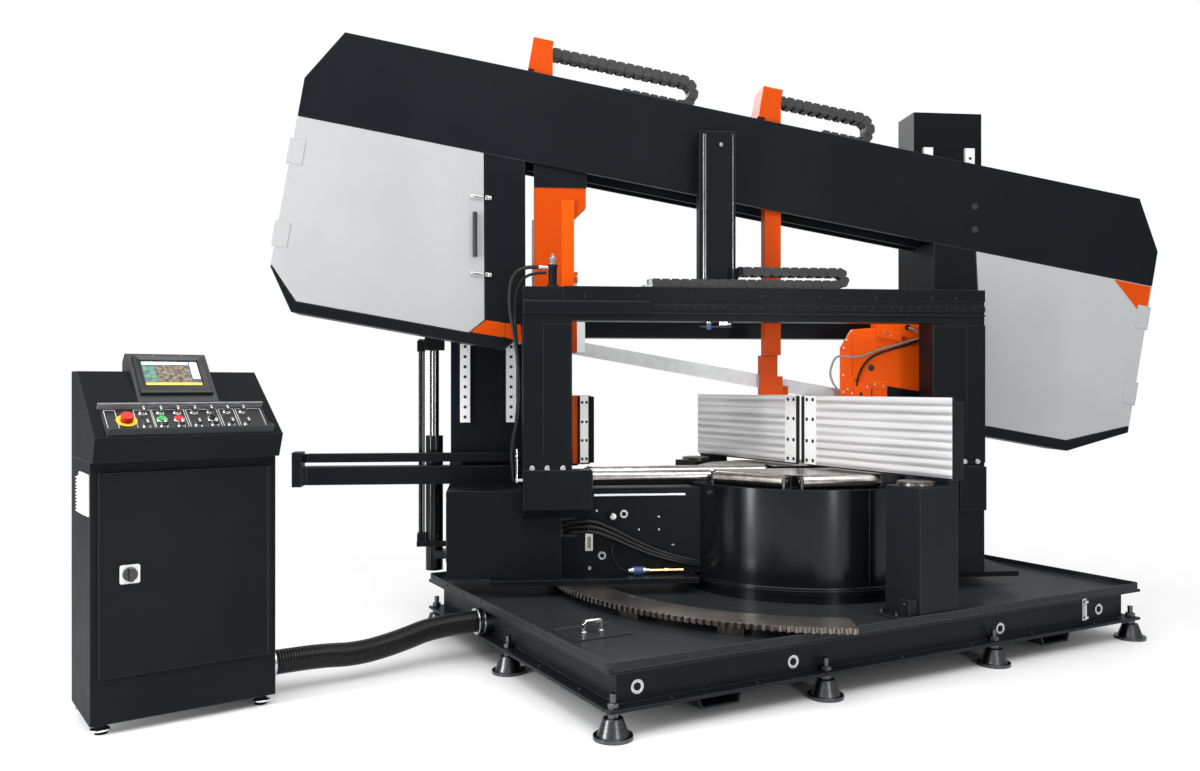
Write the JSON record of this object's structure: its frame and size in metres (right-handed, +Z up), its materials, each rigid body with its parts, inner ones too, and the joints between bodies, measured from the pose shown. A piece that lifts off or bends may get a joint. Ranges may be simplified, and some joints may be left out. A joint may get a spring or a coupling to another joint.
{
  "type": "mitre band saw",
  "caption": "Canted mitre band saw: swivelling head with twin columns, saw bow, clamp portal and vise on a low base with a tray, and a free-standing operating console on a hose.",
  "frame": {"origin": "middle of the footprint on the floor, hose left out", "axes": "+X along the base towards the drive wheel's end, +Y along the stock's feed line, +Z up"},
  "size_m": [5.0735, 2.2556, 2.9526],
  "materials": {
    "charcoal_paint": "satin",
    "light_grey_paint": "satin",
    "orange_paint": "satin",
    "steel": "satin",
    "jaw_aluminium": "satin",
    "cast": "matte",
    "black_plastic": "matte",
    "red_plastic": "gloss",
    "green_plastic": "gloss"
  },
  "bodies": {
    "base": {"base_frame": "charcoal_paint", "drip_tray": "charcoal_paint", "levelling_feet": "steel", "swivel_ring": "steel", "slew_bearing": "steel", "jaw_posts": "charcoal_paint", "fixed_jaw_plates": "jaw_aluminium", "jaw_wear_plates": "steel", "console_cabinet": "charcoal_paint", "console_desk": "charcoal_paint", "screen_unit": "black_plastic", "hose_flanges": "steel", "supply_hose": "black_plastic"},
    "hatch_lid": {"tray_hatch": "charcoal_paint"},
    "cabinet_door": {"console_door": "charcoal_paint"},
    "switch_knob": {"main_switch": "black_plastic"},
    "stop_mushroom": {"emergency_stop": "red_plastic"},
    "start_push": {"start_button": "green_plastic"},
    "stop_push": {"stop_button": "red_plastic"},
    "selector": {"mode_selector": "black_plastic"},
    "head": {"turret_drum": "charcoal_paint", "left_arm": "charcoal_paint", "right_arm": "charcoal_paint", "sole_plates": "charcoal_paint", "column_frame": "charcoal_paint", "column_rails": "steel", "clamp_portal": "charcoal_paint", "roller_brackets": "steel", "vise_cylinder": "charcoal_paint", "lift_cylinders": "steel", "clamp_chain": "black_plastic"},
    "pinion": {"swivel_pinion": "steel"},
    "front_roller": {"table_roller_front": "steel"},
    "rear_roller": {"table_roller_rear": "steel"},
    "left_turret_roller": {"turret_roller_left": "steel"},
    "right_turret_roller": {"turret_roller_right": "steel"},
    "ram": {"vise_ram": "charcoal_paint"},
    "jaw": {"moving_jaw": "orange_paint", "moving_jaw_plate": "jaw_aluminium"},
    "carriage": {"clamp_carriage": "charcoal_paint"},
    "mast": {"clamp_mast": "charcoal_paint"},
    "bow": {"bow_beam": "charcoal_paint", "bow_cover": "charcoal_paint", "left_wheel_case": "charcoal_paint", "right_wheel_case": "charcoal_paint", "saw_blade": "steel", "blade_shroud": "orange_paint", "drive_gearmotor": "charcoal_paint", "lift_rods": "steel", "left_arm_chain": "black_plastic", "right_arm_chain": "black_plastic"},
    "left_case_door": {"left_door": "light_grey_paint"},
    "right_case_door": {"right_door": "light_grey_paint"},
    "idler": {"idler_wheel": "cast"},
    "driver": {"drive_wheel": "cast"},
    "tensioner": {"tension_block": "steel"},
    "left_guide": {"left_guide_arm": "orange_paint", "left_blade_guide": "steel"},
    "right_guide": {"right_guide_arm": "orange_paint", "right_blade_guide": "orange_paint"}
  },
  "joints": [
    {"name": "head_swivel", "type": "hinge", "parent": "base", "child": "head", "pos_m": [0.7807, -0.0094, 0.3], "axis": [0, 0, 1], "range_deg": [-22.5, 67.5]},
    {"name": "swivel_pinion", "type": "hinge", "parent": "head", "child": "pinion", "pos_m": [-0.4798, 0.51272, 0.296], "axis": [0, 0, 1], "continuous": true},
    {"name": "bow_feed", "type": "slide", "parent": "head", "child": "bow", "axis": [0, 0, 1], "range_m": [-0.565, 0.1]},
    {"name": "left_door_hinge", "type": "hinge", "parent": "bow", "child": "left_case_door", "pos_m": [-1.64455, 0.85175, 2.15791], "axis": [-0.1604, 0.0665, -0.9848], "range_deg": [0, 75]},
    {"name": "right_door_hinge", "type": "hinge", "parent": "bow", "child": "right_case_door", "pos_m": [2.37696, -0.81401, 1.39038], "axis": [0.1604, -0.0665, 0.9848], "range_deg": [0, 100]},
    {"name": "blade_tension", "type": "slide", "parent": "bow", "child": "tensioner", "axis": [0.9098, -0.3769, -0.1736], "range_m": [0, 0.02]},
    {"name": "idler_spin", "type": "hinge", "parent": "tensioner", "child": "idler", "pos_m": [-1.13656, 0.78476, 2.04525], "axis": [0.3827, 0.9239, 0], "continuous": true},
    {"name": "drive_spin", "type": "hinge", "parent": "bow", "child": "driver", "pos_m": [1.96145, -0.49848, 1.45397], "axis": [0.3827, 0.9239, 0], "continuous": true},
    {"name": "left_guide_slide", "type": "slide", "parent": "bow", "child": "left_guide", "axis": [0.9098, -0.3769, -0.1736], "range_m": [0, 0.45], "deforming": ["left_arm_chain"]},
    {"name": "right_guide_slide", "type": "slide", "parent": "bow", "child": "right_guide", "axis": [0.9098, -0.3769, -0.1736], "range_m": [-0.26, 0], "deforming": ["right_arm_chain"]},
    {"name": "vise_slide", "type": "slide", "parent": "head", "child": "ram", "axis": [0.9239, -0.3827, 0], "range_m": [0, 0.85]},
    {"name": "jaw_swivel", "type": "hinge", "parent": "ram", "child": "jaw", "pos_m": [-0.25782, 0.56689, 0.95], "axis": [0, 0, 1], "range_deg": [-67.5, 22.5]},
    {"name": "clamp_traverse", "type": "slide", "parent": "head", "child": "carriage", "axis": [0.9239, -0.3827, 0], "range_m": [-0.55, 0], "deforming": ["clamp_chain"]},
    {"name": "clamp_press", "type": "slide", "parent": "carriage", "child": "mast", "axis": [0, 0, 1], "range_m": [-0.6, 0]},
    {"name": "front_roller_spin", "type": "hinge", "parent": "head", "child": "front_roller", "pos_m": [-0.2799, 0.27838, 0.8], "axis": [0.9239, -0.3827, 0], "continuous": true},
    {"name": "rear_roller_spin", "type": "hinge", "parent": "head", "child": "rear_roller", "pos_m": [-0.17275, 0.53707, 0.8], "axis": [0.9239, -0.3827, 0], "continuous": true},
    {"name": "left_turret_roller_spin", "type": "hinge", "parent": "head", "child": "left_turret_roller", "pos_m": [0.25074, -0.01588, 0.8], "axis": [0.3681, -0.9298, 0], "continuous": true},
    {"name": "right_turret_roller_spin", "type": "hinge", "parent": "head", "child": "right_turret_roller", "pos_m": [0.44644, -0.4207, 0.8], "axis": [0.95, -0.3123, 0], "continuous": true},
    {"name": "hatch_hinge", "type": "hinge", "parent": "base", "child": "hatch_lid", "pos_m": [-0.6893, -0.3894, 0.2565], "axis": [-1, 0, 0], "range_deg": [0, 100]},
    {"name": "cabinet_door_hinge", "type": "hinge", "parent": "base", "child": "cabinet_door", "pos_m": [-1.8591, -0.01586, 0.5], "axis": [0, 0, 1], "range_deg": [0, 110]},
    {"name": "main_switch_turn", "type": "hinge", "parent": "cabinet_door", "child": "switch_knob", "pos_m": [-2.35658, -0.08312, 0.57], "axis": [0.134, -0.991, 0], "range_deg": [0, 90]},
    {"name": "stop_mushroom_press", "type": "slide", "parent": "base", "child": "stop_mushroom", "axis": [-0.0751, 0.5557, -0.828], "range_m": [0, 0.005], "stiffness_N_per_m": 900},
    {"name": "start_press", "type": "slide", "parent": "base", "child": "start_push", "axis": [-0.0751, 0.5557, -0.828], "range_m": [0, 0.004], "stiffness_N_per_m": 900},
    {"name": "stop_press", "type": "slide", "parent": "base", "child": "stop_push", "axis": [-0.0751, 0.5557, -0.828], "range_m": [0, 0.004], "stiffness_N_per_m": 900},
    {"name": "selector_turn", "type": "hinge", "parent": "base", "child": "selector", "pos_m": [-2.07103, -0.03477, 1.11927], "axis": [0.0751, -0.5557, 0.828], "range_deg": [-45, 45]}
  ],
  "couplings": [
    {"joint": "swivel_pinion", "follows": "head_swivel", "ratio": 17},
    {"joint": "jaw_swivel", "follows": "head_swivel", "ratio": -1},
    {"joint": "idler_spin", "follows": "drive_spin", "ratio": 1}
  ]
}
